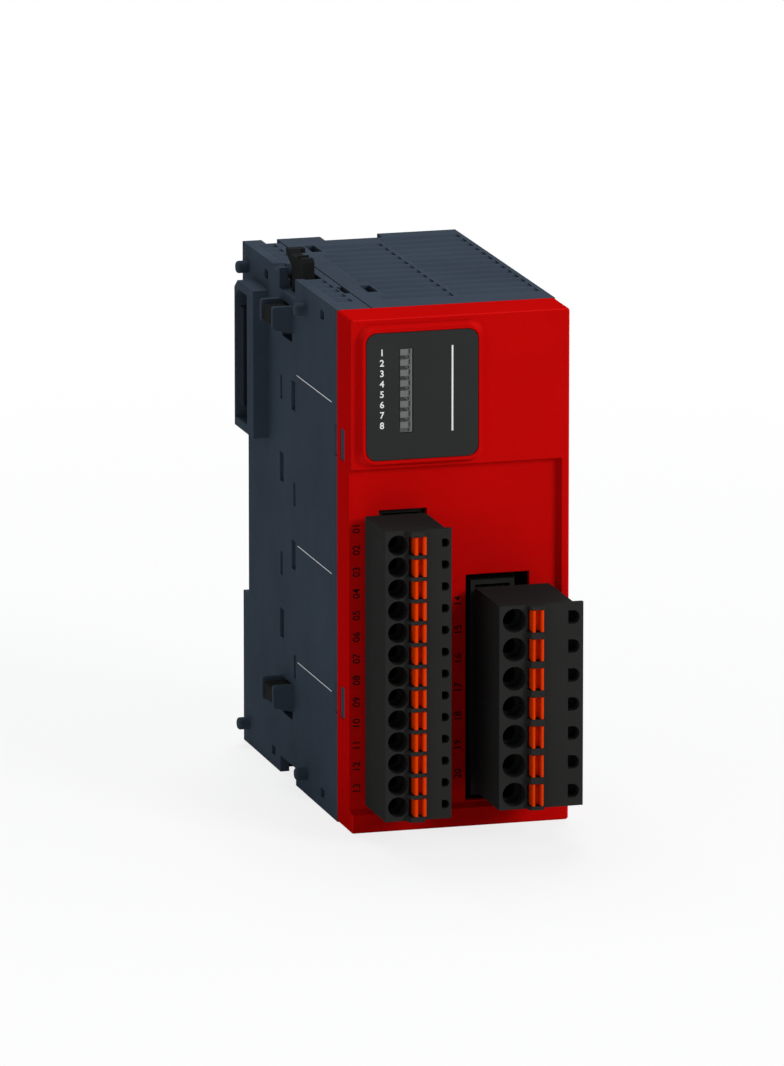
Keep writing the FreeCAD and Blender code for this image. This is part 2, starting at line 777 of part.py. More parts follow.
def rail_clip():
    """The sliding clip that catches the lower edge of the rail."""
    top = RAIL_LOW + " - clip_relief"
    plate = block("clip_plate", "clip_x", CLIP_Y, "clip_low", "clip_wide", "clip_thick", top + " - clip_low")
    rib_x = "clip_x + clip_lip + fit_gap"
    rib_wide = "clip_wide - 2 * clip_lip - 2 * fit_gap"
    rib = block("clip_rib", rib_x, CLIP_Y, "clip_low", rib_wide, "clip_thick + clip_lip_thick - fit_gap",
                top + " - clip_low")
    nose_y = "case_deep - rail_lip_thick"
    nose = block("clip_nose", rib_x, nose_y, top + " - clip_nose_root", rib_wide,
                 "rail_lip_thick - 2 * fit_gap", "clip_nose_root + clip_relief + clip_nose")
    eye = block("clip_eye", "clip_x + clip_wide / 2 - clip_eye / 2", CLIP_Y + " - " + OVER,
                "clip_low + clip_lip", "clip_eye", "case_deep", "clip_eye / 2")
    node("rail_clip", less("clip_cut", joined("clip_solid", [plate, rib, nose]), [eye]))


# Lock slide

def lock_slide():
    """The black slide with its thumb tab on top and two hooks that reach out of the left face."""
    tab_z = "case_high"
    thumb_base = tab_z + " - notch_deep + slide_travel + fit_gap"
    points = [
        ("slide_y", "slide_low + slide_bevel"),
        ("slide_y + slide_bevel", "slide_low"),
        (SLIDE_REAR + " - slide_bevel", "slide_low"),
        (SLIDE_REAR, "slide_low + slide_bevel"),
        (SLIDE_REAR, tab_z + " + thumb_root"),
        ("thumb_rear", tab_z + " + thumb_high - thumb_thick"),
        ("thumb_rear", tab_z + " + thumb_high"),
        ("thumb_rear - thumb_ridge", tab_z + " + thumb_high"),
        ("thumb_rear - thumb_ridge - thumb_slope", tab_z + " + thumb_high - thumb_dip"),
        ("thumb_front + thumb_ridge + thumb_slope", tab_z + " + thumb_high - thumb_dip"),
        ("thumb_front + thumb_ridge", tab_z + " + thumb_high"),
        ("thumb_front + thumb_dip", tab_z + " + thumb_high"),
        ("thumb_front", tab_z + " + thumb_high - thumb_dip"),
        ("thumb_front", thumb_base),
        ("slide_y", thumb_base),
    ]
    stem = extrude("slide_stem", "side", points, "slide_x", "slide_thick")
    tab_wing = block("thumb_wing", "slide_x", "thumb_rear - thumb_ridge", tab_z + " + thumb_high - thumb_thick",
                     "slide_thick + thumb_wing", "thumb_ridge", "thumb_thick")
    bump = block("thumb_bump", "slide_x", "thumb_front + thumb_bump_y", tab_z, "slide_thick", "thumb_bump",
                 "thumb_high")
    hook_deep = SLIDE_REAR + " - slide_y - fit_gap"
    hooks = [
        block("hook", "-hook_long", "slide_y + hook_gap", z + " + hook_up", "hook_long + slide_x + fit_gap",
              hook_deep + " - hook_gap", "hook_tall")
        for z in GUARD_PLACES
    ]
    node("lock_slide", joined("slide_solid", [stem, tab_wing, bump] + hooks))


# Front cover, label and light guide

BOSS_FRONT = "(-boss_proud)"
BOSS_Z = "(case_high - boss_drop - boss_tall)"
RECESS_TOP = "(%s - recess_below)" % BOSS_Z
LAMP_TALL = "(%d * lamp_pitch)" % LAMP_COUNT
LAMP_Z = "(case_high - lamp_drop - %s)" % LAMP_TALL


def front_cover():
    """The red cover: a skirt round the shells, a raised display boss and the recess for the plugs."""
    outer = block("cover_outer", "0", "0", "0", "case_wide", "cover_deep", "case_high")
    shaped = softened("cover_soft", outer, "cover_round",
                      lambda edge: edge.BoundBox.YLength > SLACK or edge.BoundBox.YMin < SLACK)
    boss = wedge("boss", "boss_x + boss_wide", "0", BOSS_Z, "boss_wide", "boss_proud", "boss_tall",
                 "boss_taper", "boss_taper", "boss_taper", "boss_taper")
    boss.Placement = FreeCAD.Placement(boss.Placement.Base, FreeCAD.Rotation(FreeCAD.Vector(0, 0, 1), 180))
    boss_soft = softened("boss_soft", boss, "boss_corner",
                         lambda edge: edge.BoundBox.YLength > SLACK)
    solid = joined("cover_solid", [shaped, boss_soft])

    floor_y = "recess_deep + cover_wall"
    step_z = RECESS_TOP + " + cover_wall"
    inside_wide = "case_wide - 2 * cover_wall"
    cuts = [
        block("cover_inside", "cover_wall", floor_y, "cover_wall", inside_wide, "cover_deep",
              "case_high - 2 * cover_wall"),
        block("cover_upper", "cover_wall", "cover_wall", step_z, inside_wide, "cover_deep",
              "case_high - cover_wall - " + "(%s)" % step_z),
        wedge("recess", "-" + OVER, "0", "recess_low", "case_wide - recess_edge + " + OVER, "recess_deep",
              RECESS_TOP + " - recess_low", "0", "recess_slope", "recess_slope", "recess_slope / 2"),
        block("boss_hollow", "boss_x + boss_rim", BOSS_FRONT + " + label_thick + boss_wall",
              BOSS_Z + " + boss_rim", "boss_wide - 2 * boss_rim", "boss_proud + cover_wall",
              "boss_tall - 2 * boss_rim"),
        label_plate("label_pocket", "0", "label_thick + fit_gap"),
        block("lamp_window", "lamp_x - fit_gap", BOSS_FRONT + " - " + OVER, LAMP_Z + " - fit_gap",
              "lamp_wide + 2 * fit_gap", "boss_proud + 2 * " + OVER, LAMP_TALL + " + 2 * fit_gap"),
        block("fine_opening", FINE_HEADER_X + " - opening_gap", "0", "fine_header_z - opening_gap",
              "fine_header_wide + 2 * opening_gap", "cover_deep", "fine_header_tall + 2 * opening_gap"),
        block("wide_opening", WIDE_HEADER_X + " - wide_open_left", "0", "wide_header_z - wide_open_low",
              "wide_header_wide + wide_open_left + wide_open_right", "cover_deep",
              "wide_header_tall + wide_open_low + wide_open_top"),
    ]
    for x in ("-" + OVER, "case_wide - cover_wall - fit_gap"):
        for z in LATCH_PLACES:
            cuts.append(block("latch_window", x, "latch_y", z, "cover_wall + fit_gap + " + OVER, "latch_deep",
                              "latch_tall"))
    node("front_cover", less("cover_cut", solid, cuts))


def label_plate(name, shrink, thick):
    """The rounded plate of the display label, or the pocket that it lies in."""
    margin = "boss_taper + label_margin + " + shrink
    plate = block(name, "boss_x + " + margin, BOSS_FRONT, BOSS_Z + " + " + margin,
                  "boss_wide - 2 * (%s)" % margin, thick, "boss_tall - 2 * (%s)" % margin)
    return softened(name + "_soft", plate, "label_corner",
                    lambda edge: edge.BoundBox.XLength + edge.BoundBox.ZLength < SLACK)


def display_label():
    """The dark label that lies in the boss, with a window for the lamps."""
    plate = label_plate("label_plate", "label_gap", "label_thick")
    window = block("label_window", "lamp_x - fit_gap", BOSS_FRONT + " - " + OVER, LAMP_Z + " - fit_gap",
                   "lamp_wide + 2 * fit_gap", "label_thick + 2 * " + OVER, LAMP_TALL + " + 2 * fit_gap")
    node("display_label", less("label_cut", plate, [window]))


def light_guide():
    """The clear strip of eight windows with a rod from each lamp on the board."""
    flange_y = BOSS_FRONT + " + label_thick + boss_wall"
    strip = block("guide_strip", "lamp_x", BOSS_FRONT, LAMP_Z, "lamp_wide",
                  "label_thick + boss_wall + fit_gap", LAMP_TALL)
    flange = block("guide_flange", "lamp_x - flange_rim", flange_y, LAMP_Z + " - flange_rim",
                   "lamp_wide + 2 * flange_rim", "flange_rim", LAMP_TALL + " + 2 * flange_rim")
    adds = [strip, flange]
    cuts = []
    for lamp in range(LAMP_COUNT):
        middle = "%s + (%d + 0.5) * lamp_pitch" % (LAMP_Z, lamp)
        adds.append(block("guide_rod", "lamp_x", flange_y, middle + " - lamp_rod / 2", "lamp_rod",
                          "lamp_y - seat_gap - (%s)" % flange_y, "lamp_rod"))
        cuts.append(block("guide_step", "lamp_x - " + OVER, BOSS_FRONT + " - " + OVER,
                          "%s + %d * lamp_pitch + lamp_low" % (LAMP_Z, lamp),
                          "lamp_wide - lamp_edge + " + OVER, OVER + " + lamp_step / 2", "lamp_step"))
    node("light_guide", less("guide_cut", joined("guide_solid", adds), cuts))


def status_lamps():
    """The eight lamps at the front edge of the logic board."""
    lamps = []
    for lamp in range(LAMP_COUNT):
        middle = "%s + (%d + 0.5) * lamp_pitch" % (LAMP_Z, lamp)
        lamps.append(block("lamp", LOGIC_FACE, "lamp_y", middle + " - lamp_rod / 2", "lamp_high", "lamp_rod",
                           "lamp_rod"))
    node("status_lamps", group("lamps", lamps))


# Boards and what they carry

def boards():
    """The logic board beside the left shell and the power board in the middle."""
    for name, x in (("logic_board", "logic_x"), ("power_board", POWER_X)):
        low = "wall + board_gap"
        node(name, block(name + "_plate", x, "board_front", low, "board_thick", "board_rear - board_front",
                         "case_high - 2 * wall - 2 * board_gap"))


def relays():
    """Two relays with guided contacts, side by side on the power board."""
    high = "case_wide - wall - relay_air - " + POWER_FACE
    for i, name in enumerate(("relay_k1", "relay_k2")):
        y = "relay_y + %d * (relay_wide + relay_space)" % i
        can = block(name + "_can", POWER_FACE, y, "relay_z", high, "relay_wide", "relay_long")
        node(name, softened(name + "_soft", can, "relay_round", lambda edge: edge.BoundBox.XLength > SLACK))


def electronics():
    """The larger parts on the logic board and the link between the boards."""
    chips = [
        block("chip", LOGIC_FACE, "chip_y", z, "chip_high", "chip_side", "chip_side")
        for z in ("chip_low_z", "chip_top_z")
    ]
    node("controller_chips", group("chips", chips))
    can_high = BETWEEN_BOARDS + " - can_air"
    cans = [
        rod("can", "x", LOGIC_FACE, "can_y", z, "can_across", can_high) for z in ("can_low_z", "can_top_z")
    ]
    node("capacitors", group("cans", cans))
    node("supply_transformer", block("transformer", LOGIC_FACE, "coil_y", "coil_z",
                                     BETWEEN_BOARDS + " - coil_air", "coil_side", "coil_side"))
    node("board_link", block("link", LOGIC_FACE, "link_y", "link_z", BETWEEN_BOARDS, "link_deep", "link_tall"))


# Sideways bus

def blades(name, x, long):
    """A row of thin contact blades along the rear side of the tongue."""
    row = []
    for blade in range(BLADE_COUNT):
        z = "%s + (%d - %s) * blade_pitch - blade_wide / 2" % (BUS_MIDDLE, blade, (BLADE_COUNT - 1) / 2)
        row.append(block(name, x, TONGUE_Y + " + tongue_thick", z, long, "blade_thick", "blade_wide"))
    return row


def bus_inlet():
    """The carrier with its tongue in the left inlet and the blades that it holds."""
    root = block("carrier", "tongue_root", "carrier_y", CARRIER_Z, "logic_x - tongue_root", "carrier_deep",
                 CARRIER_TALL)
    tongue = block("tongue", "tongue_inset - bus_proud", TONGUE_Y, TONGUE_Z,
                   "bus_proud - tongue_inset + tongue_root + " + OVER, "tongue_thick", "tongue_tall")
    blade_x = "tongue_inset - bus_proud + blade_thick"
    blade_long = "logic_x - (%s)" % blade_x
    solid = joined("carrier_solid", [root, tongue])
    node("bus_inlet_carrier", less("carrier_cut", solid, blades("blade_slot", blade_x, blade_long)))
    node("bus_inlet_blades", group("inlet_blades", blades("inlet_blade", blade_x, blade_long)))


def bus_outlet():
    """The socket on the right side for the next module's tongue."""
    face = "case_wide - tongue_root"
    body = block("socket", POWER_FACE, "carrier_y", CARRIER_Z, face + " - " + POWER_FACE, "carrier_deep",
                 CARRIER_TALL)
    slot_gap = "(2 * blade_thick)"
    slot_deep = "bus_proud + tongue_root"
    slot = block("socket_slot", face + " - (%s)" % slot_deep, TONGUE_Y + " - fit_gap",
                 TONGUE_Z + " - fit_gap", slot_deep + " + " + OVER,
                 "tongue_thick + " + slot_gap + " + fit_gap", "tongue_tall + 2 * fit_gap")
    blade_long = face + " - blade_inset - " + POWER_FACE
    row = []
    cut_row = []
    for out in (row, cut_row):
        for piece in blades("outlet_blade", POWER_FACE, blade_long):
            bind(piece, Placement__Base__y=TONGUE_Y + " + tongue_thick + " + slot_gap)
            out.append(piece)
    node("bus_outlet_socket", less("socket_cut", body, [slot] + cut_row))
    node("bus_outlet_blades", group("outlet_blades", row))


# Terminal plugs and their headers

class Plug:
    """The expressions of one terminal plug: fine is the left one, wide the right one."""

    def __init__(self, kind, side, poles, x, header_x, board_face):
        self.kind = kind
        self.side = side
        self.poles = poles
        self.x = x
        self.header_x = header_x
        self.board_face = board_face
        self.tall = "(%d * %s_pitch + 2 * %s_end)" % (poles, kind, kind)
        self.pin_x = "(%s + %s_header_wide / 2)" % (header_x, kind)
        self.wire_x = "(%s + %s_hole_x)" % (x, kind)
        self.lever_x = "(%s + %s_lever_x)" % (x, kind)
        self.lever_tall = "(%s_pitch - %s_rib - 2 * fit_gap)" % (kind, kind)
        self.front = "(-%s_proud)" % kind
        self.back_y = "(recess_deep - plug_stand)"
        self.header_floor = "(header_front + header_deep - header_back)"

    def size(self, word):
        """The name of one of this plug's own sizes."""
        return "%s_%s" % (self.kind, word)

    def pole_z(self, pole):
        """The height of the middle of a pole, counted from the base."""
        return "(%s_z + %s_end + (%d + 0.5) * %s_pitch)" % (self.kind, self.kind, pole, self.kind)


def plug_housing(plug):
    """The black housing: wire holes, lever slots with ribs between them, test holes with a round right
    side and a sleeve behind the thin flange, and a rear spigot."""
    kind = plug.kind
    z = plug.size("z")
    wide = plug.size("wide")
    test_x = "%s + %s_test_x" % (plug.x, kind)
    half = plug.size("test_tall") + " / 2"
    flat = "%s_test_wide - %s" % (kind, half)
    main = block(kind + "_main", plug.x, plug.front, z, wide, plug.back_y + " - " + plug.front, plug.tall)
    flange = block(kind + "_flange", plug.x + " + " + wide, plug.front, z, plug.size("flange"), "flange_thick",
                   plug.tall)
    inner_x = plug.header_x + " + header_wall + fit_gap"
    inner_wide = plug.size("header_wide") + " - 2 * header_wall - 2 * fit_gap"
    spigot = block(kind + "_spigot", inner_x, plug.back_y + " - " + OVER, z + " + header_wall + seat_gap",
                   inner_wide, plug.header_floor + " - seat_gap - " + plug.back_y + " + " + OVER,
                   plug.tall + " - 2 * header_wall - 2 * seat_gap")
    adds = [main, flange, spigot]
    slot_x = "%s - %s" % (plug.lever_x, plug.size("side_gap"))
    slot_wide = "%s + %s + fit_gap" % (plug.size("lever_wide"), plug.size("side_gap"))
    band_x = "%s + %s" % (plug.x, plug.size("band_x"))
    slope = plug.size("band_slope")
    band_end = "%s + %s" % (band_x, plug.size("band_wide"))
    band_face = plug.front + " - rib_proud"
    band_points = [
        (band_x, plug.front + " + wall / 2"), (band_x, plug.front), (band_x + " + " + slope, band_face),
        (band_end + " - " + slope, band_face), (band_end, plug.front), (band_end, plug.front + " + wall / 2"),
    ]
    rib = plug.size("rib")
    end_rib = "(%s_end + %s / 2)" % (kind, rib)
    for rib_z in (z, "%s + %s - %s" % (z, plug.tall, end_rib)):
        adds.append(extrude(kind + "_rib", "top", band_points, rib_z, end_rib))
    for edge in range(1, plug.poles):
        rib_z = "%s_z + %s_end + %d * %s_pitch - %s / 2" % (kind, kind, edge, kind, rib)
        adds.append(extrude(kind + "_rib", "top", band_points, rib_z, rib))
    for pole in range(plug.poles):
        low = "%s - %s - sleeve_wall" % (plug.pole_z(pole), half)
        adds.append(block(kind + "_test_sleeve", "%s + %s - wall / 2" % (plug.x, wide), plug.front, low,
                          "wall / 2 + %s - fit_gap" % plug.size("flange"), "test_deep + sleeve_wall",
                          plug.size("test_tall") + " + 2 * sleeve_wall"))
    solid = joined(kind + "_solid", adds)
    cuts = []
    for pole in range(plug.poles):
        middle = plug.pole_z(pole)
        cuts.append(rod(kind + "_funnel", "y", plug.wire_x, plug.front + " - " + OVER, middle,
                        plug.size("hole"), "funnel_deep + " + OVER))
        cuts.append(rod(kind + "_wire_hole", "y", plug.wire_x + " - wire_shift", plug.front, middle,
                        plug.size("wire"), plug.size("proud") + " - cage_deep"))
        cuts.append(block(kind + "_lever_slot", slot_x, plug.front + " - 2 * rib_proud",
                          middle + " - (%s) / 2 - fit_gap" % plug.lever_tall, slot_wide,
                          "2 * rib_proud + lever_long - lever_proud + lever_travel + fit_gap",
                          plug.lever_tall + " + 2 * fit_gap"))
        cuts.append(block(kind + "_test_flat", test_x, plug.front + " - " + OVER, middle + " - " + half, flat,
                          "test_deep + " + OVER, plug.size("test_tall")))
        cuts.append(half_rod(kind + "_test_round", test_x + " + " + flat, plug.front + " - " + OVER, middle,
                             plug.size("test_tall"), "test_deep + " + OVER))
        cuts += contact_blocks(plug, pole, "fit_gap", "header_back")
    node("plug_%s" % plug.side, less(kind + "_housing", solid, cuts))


def contact_blocks(plug, pole, gap, beyond):
    """The receptacle and the clamp cage of one pole, or the room that they need in the housing, which
    runs beyond the rear end of the spigot."""
    kind = plug.kind
    half = "(%s_contact / 2 + %s)" % (kind, gap)
    middle = plug.pole_z(pole)
    cage_y = "(-cage_deep - %s)" % gap
    rear = "%s - seat_gap + (%s)" % (plug.header_floor, beyond)
    cage_x = "(%s - %s)" % (plug.wire_x, half)
    sleeve = block(kind + "_sleeve", plug.pin_x + " - " + half, cage_y, middle + " - " + half, "2 * " + half,
                   rear + " - " + cage_y, "2 * " + half)
    cage = block(kind + "_cage", cage_x, cage_y, middle + " - " + half, plug.pin_x + " - " + cage_x,
                 "cage_long + 2 * " + gap, "2 * " + half)
    return [sleeve, cage]


def contacts(plug):
    """The spring contacts of a plug, one solid for each pole."""
    kind = plug.kind
    springs = []
    for pole in range(plug.poles):
        middle = plug.pole_z(pole)
        half = "(%s_pin / 2 + fit_gap / 2)" % kind
        slot = block(kind + "_pin_slot", plug.pin_x + " - " + half, "header_front", middle + " - " + half,
                     "2 * " + half, "header_deep", "2 * " + half)
        solid = joined(kind + "_contact", contact_blocks(plug, pole, "0", "-contact_thick"))
        springs.append(less(kind + "_contact_cut", solid, [slot]))
    node("contacts_%s" % plug.side, group(kind + "_contacts", springs))


def levers(plug):
    """The orange release levers, numbered from the top, each with a groove between two ridges."""
    kind = plug.kind
    x = plug.lever_x
    end = "%s + %s" % (x, plug.size("lever_wide"))
    ridge = plug.size("ridge")
    face = "-lever_proud - %s_proud" % kind
    eased = face + " + lever_round"
    floor = face + " + lever_groove"
    rear = face + " + lever_long"
    points = [
        (x, eased), (x + " + lever_round", face), (x + " + %s - lever_round" % ridge, face),
        (x + " + " + ridge, eased), (x + " + " + ridge, floor), (end + " - " + ridge, floor),
        (end + " - " + ridge, eased), (end + " - %s + lever_round" % ridge, face),
        (end + " - lever_round", face), (end, eased), (end, rear), (x, rear),
    ]
    for pole in range(plug.poles):
        start = "%s - %s / 2" % (plug.pole_z(plug.poles - 1 - pole), plug.lever_tall)
        lever = extrude("%s_lever" % kind, "top", points, start, plug.lever_tall)
        node("lever_%s_%02d" % (plug.side, pole + 1), lever)


def header(plug):
    """The shroud on a board that a plug goes into, with its foot on the board."""
    kind = plug.kind
    x = plug.header_x
    z = plug.size("header_z")
    wide = plug.size("header_wide")
    tall = plug.size("header_tall")
    outer = block(kind + "_shroud", x, "header_front", z, wide, "header_deep", tall)
    foot_wide = "%s + %s - %s" % (x, wide, plug.board_face)
    foot = block(kind + "_foot", plug.board_face, "header_front + header_deep", z, foot_wide, "header_foot",
                 tall)
    hollow = block(kind + "_hollow", x + " + header_wall", "header_front - " + OVER, z + " + header_wall",
                   wide + " - 2 * header_wall", "header_deep - header_back + " + OVER,
                   tall + " - 2 * header_wall")
    solid = joined(kind + "_header", [outer, foot])
    node("header_%s" % plug.side, less(kind + "_header_cut", solid, [hollow] + pins(plug, "pin_hole")))
    node("header_pins_%s" % plug.side, group(kind + "_pins", pins(plug, "pin")))


def pins(plug, name):
    """The angled pins of a header, from the shroud to the board."""
    kind = plug.kind
    thick = plug.size("pin")
    bent = []
    for pole in range(plug.poles):
        low = "%s - %s / 2" % (plug.pole_z(pole), thick)
        tail_y = "header_front + header_deep + header_foot"
        arm = block("%s_%s_arm" % (kind, name), plug.pin_x + " - %s / 2" % thick, "header_front + pin_inset",
                    low, thick, tail_y + " + %s - header_front - pin_inset" % thick, thick)
        leg = block("%s_%s_leg" % (kind, name), plug.board_face, tail_y, low,
                    plug.pin_x + " + %s / 2 - %s" % (thick, plug.board_face), thick, thick)
        bent.append(joined("%s_%s" % (kind, name), [arm, leg]))
    return bent


def main():
    """Builds every node, checks each one and writes it."""
    left_shell()
    main_shell()
    rail_clip()
    lock_slide()
    front_cover()
    display_label()
    light_guide()
    status_lamps()
    boards()
    relays()
    electronics()
    bus_inlet()
    bus_outlet()
    left = Plug("fine", "left", FINE_POLE_COUNT, FINE_X, FINE_HEADER_X, LOGIC_FACE)
    right = Plug("wide", "right", WIDE_POLE_COUNT, WIDE_X, WIDE_HEADER_X, POWER_FACE)
    for plug in (left, right):
        plug_housing(plug)
        contacts(plug)
        levers(plug)
        header(plug)
    doc.recompute()
    for item in doc.Objects:
        if "Invalid" in item.State or "Error" in item.State:
            raise RuntimeError("%s was not built: %s" % (item.Name, item.State))
    for item in NODES:
        shape = item.Shape
        if shape.isNull() or not shape.isValid() or not shape.Solids:
            raise RuntimeError("%s has no sound shape" % item.Label)
    os.makedirs("parts", exist_ok=True)
    for item in NODES:
        item.Shape.exportStep(os.path.join("parts", item.Label + ".step"))
    print(len(NODES), "nodes")


main()
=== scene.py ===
import json
import math

import bmesh
import bpy
from mathutils import Matrix, Vector


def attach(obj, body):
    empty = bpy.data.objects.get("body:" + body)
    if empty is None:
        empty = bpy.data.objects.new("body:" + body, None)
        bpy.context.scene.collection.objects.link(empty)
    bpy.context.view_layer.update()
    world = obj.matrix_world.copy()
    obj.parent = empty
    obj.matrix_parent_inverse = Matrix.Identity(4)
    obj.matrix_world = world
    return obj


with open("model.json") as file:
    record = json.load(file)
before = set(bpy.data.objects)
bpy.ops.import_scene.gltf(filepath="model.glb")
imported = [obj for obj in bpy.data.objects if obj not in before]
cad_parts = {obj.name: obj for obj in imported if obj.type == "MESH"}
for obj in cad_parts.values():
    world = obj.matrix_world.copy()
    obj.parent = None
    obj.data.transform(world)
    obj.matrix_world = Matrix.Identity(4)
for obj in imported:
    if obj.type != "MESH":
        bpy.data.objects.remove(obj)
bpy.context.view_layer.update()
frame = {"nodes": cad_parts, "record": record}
nodes = frame["nodes"]

# Places are written in millimetres in the case frame: x from the left face, y rearward from
# the front plane, z up from the base. The row frame has its origin at the rail seat.
MM = 0.001
SEAT = Vector((19.4, 67.5, 45.0))


def at(x, y, z):
    """A place in the case frame, in millimetres, as a point of the row frame, in metres."""
    return (Vector((x, y, z)) - SEAT) * MM


# Materials

def linear(level):
    """The linear value of one channel of a colour written from 0 to 255."""
    level /= 255
    return level / 12.92 if level <= 0.04045 else ((level + 0.055) / 1.055) ** 2.4


def colour(red, green, blue):
    """A colour written from 0 to 255 a channel, as the shaders take it."""
    return (linear(red), linear(green), linear(blue), 1.0)


def grey(level):
    """A neutral colour written from 0 to 255."""
    return colour(level, level, level)


class Tree:
    """The nodes of one new material, linked by short calls."""

    def __init__(self, name):
        self.material = bpy.data.materials.new(name)
        self.material.use_nodes = True
        self.nodes = self.material.node_tree.nodes
        self.links = self.material.node_tree.links
        self.shader = self.nodes["Principled BSDF"]
        self.place = self.add("ShaderNodeTexCoord").outputs["Object"]

    def add(self, kind, **values):
        """A new node with its settings and unlinked inputs."""
        node = self.nodes.new(kind)
        for word, value in values.items():
            if word in node.inputs:
                node.inputs[word].default_value = value
            else:
                setattr(node, word, value)
        return node

    def link(self, out, into):
        """One link between two sockets."""
        self.links.new(out, into)

    def feed(self, out, word):
        """One link into an input of the shader."""
        self.link(out, self.shader.inputs[word])

    def noise(self, size_mm, detail=2.0):
        """Smooth noise whose lumps are about this many millimetres across."""
        node = self.add("ShaderNodeTexNoise", Scale=1000.0 / size_mm, Detail=detail, Roughness=0.5)
        self.link(self.place, node.inputs["Vector"])
        return node.outputs["Fac"]

    def spread(self, value, low, high, start=0.3, end=0.7):
        """A value between start and end, mapped to a range."""
        node = self.add("ShaderNodeMapRange")
        for i, number in enumerate((start, end, low, high), start=1):
            node.inputs[i].default_value = number
        self.link(value, node.inputs["Value"])
        return node.outputs["Result"]

    def mix(self, share, first, second):
        """Two colours mixed by a share, each a colour or a socket."""
        node = self.add("ShaderNodeMix", data_type="RGBA")
        sockets = [socket for socket in node.inputs if socket.enabled]
        for socket, value in zip(sockets, (share, first, second)):
            if isinstance(value, bpy.types.NodeSocket):
                self.link(value, socket)
            else:
                socket.default_value = value
        return [socket for socket in node.outputs if socket.enabled][0]

    def math(self, operation, first, second=None):
        """A value worked out from one or two others."""
        node = self.add("ShaderNodeMath", operation=operation)
        self.link(first, node.inputs[0])
        if second is not None:
            self.link(second, node.inputs[1])
        return node.outputs["Value"]

    def edges(self, radius_mm):
        """The normal with soft edges, and how far each point is on such an edge, from 0 to 1."""
        bevel = self.add("ShaderNodeBevel", samples=6, Radius=radius_mm * MM)
        face = self.add("ShaderNodeNewGeometry").outputs["True Normal"]
        dot = self.add("ShaderNodeVectorMath", operation="DOT_PRODUCT")
        self.link(bevel.outputs["Normal"], dot.inputs[0])
        self.link(face, dot.inputs[1])
        turned = self.spread(dot.outputs["Value"], low=1.0, high=0.0, start=0.75, end=0.995)
        return bevel.outputs["Normal"], turned

    def rim_highlight_share(self):
        """How much of a surface faces halfway between the front and a side, from 0 to 1: the rounded
        front edges, which get a painted highlight."""
        parts = self.add("ShaderNodeSeparateXYZ")
        self.link(self.add("ShaderNodeNewGeometry").outputs["Normal"], parts.inputs[0])
        across, along, up = [self.math("ABSOLUTE", parts.outputs[axis]) for axis in "XYZ"]
        slant = self.math("MINIMUM", along, self.math("MAXIMUM", across, up))
        return self.spread(slant, low=0.0, high=1.0, start=0.45, end=0.66)

    def bump(self, height, depth_mm, normal=None):
        """A bump of this depth into the shader's normal."""
        node = self.add("ShaderNodeBump", Distance=depth_mm * MM, Strength=1.0)
        self.link(height, node.inputs["Height"])
        if normal is not None:
            self.link(normal, node.inputs["Normal"])
        self.feed(node.outputs["Normal"], "Normal")


FLOW_MM = 14.0
SPECK_MM = 0.35
GLOSS_MM = 2.5
GRAIN_MM = 0.12
GRAIN_DEEP_MM = 0.006


def scaled(base, share):
    """A colour made darker or lighter by a share, at most white."""
    return tuple(min(1.0, channel * share) for channel in base[:3]) + (1.0,)


def plastic(name, base, edge_highlight, rough=0.6, level=0.002, radius_mm=0.2, shade=0.10, rim_highlight=None):
    """Moulded plastic: spark-eroded grain, faint flow mottling and soft edges with a painted highlight
    in a paler colour. A rim colour is a painted highlight on the rounded front edges."""
    tree = Tree(name)
    dark = scaled(base, 1 - shade)
    light = scaled(base, 1 + shade)
    mottled = tree.mix(tree.spread(tree.noise(FLOW_MM, 3.0), 0.0, 1.0), dark, light)
    speck = tree.mix(tree.spread(tree.noise(SPECK_MM, 1.0), 0.0, 0.35), mottled, light)
    normal, edge_highlight_share = tree.edges(radius_mm)
    # Painted highlight: the soft edges are mixed towards the paler edge colour.
    skin = tree.mix(tree.spread(edge_highlight_share, low=0.0, high=0.55, start=0.1, end=1.0), speck, edge_highlight)
    # Painted highlight in the rim colour along the rounded front edges.
    if rim_highlight is not None:
        skin = tree.mix(tree.rim_highlight_share(), skin, rim_highlight)
    tree.feed(skin, "Base Color")
    tree.feed(tree.spread(tree.noise(GLOSS_MM), rough - 0.05, rough + 0.05), "Roughness")
    tree.shader.inputs["Specular IOR Level"].default_value = level
    tree.bump(tree.noise(GRAIN_MM), GRAIN_DEEP_MM, normal)
    return tree.material


STAIN_MM = 1.5
STREAK_MM = 0.4
STREAK_DEEP_MM = 0.003


def metal(name, base, rough=0.3):
    """Plated contact metal with fine drawing streaks."""
    tree = Tree(name)
    stain = tree.spread(tree.noise(STAIN_MM), 0.0, 1.0)
    tree.feed(tree.mix(stain, scaled(base, 0.8), base), "Base Color")
    tree.feed(tree.spread(tree.noise(STREAK_MM), rough - 0.08, rough + 0.1), "Roughness")
    tree.shader.inputs["Metallic"].default_value = 1.0
    normal = tree.edges(radius_mm=0.05)[0]
    tree.bump(tree.noise(STREAK_MM), STREAK_DEEP_MM, normal)
    return tree.material


COPPER_MM = 3.0
COPPER_THICK_MM = 0.02
WEAVE_MM = 0.8


def laminate(name):
    """Green circuit board with a faint weave and lighter copper areas."""
    tree = Tree(name)
    copper = tree.spread(tree.noise(COPPER_MM, 0.0), low=0.0, high=1.0, start=0.49, end=0.51)
    tree.feed(tree.mix(copper, colour(10, 62, 34), colour(18, 82, 46)), "Base Color")
    tree.feed(tree.spread(tree.noise(WEAVE_MM), 0.25, 0.35), "Roughness")
    tree.bump(copper, COPPER_THICK_MM)
    return tree.material


HAZE_MM = 1.2
POLISH_MM = 0.5
RIPPLE_MM = 0.4
RIPPLE_DEEP_MM = 0.004


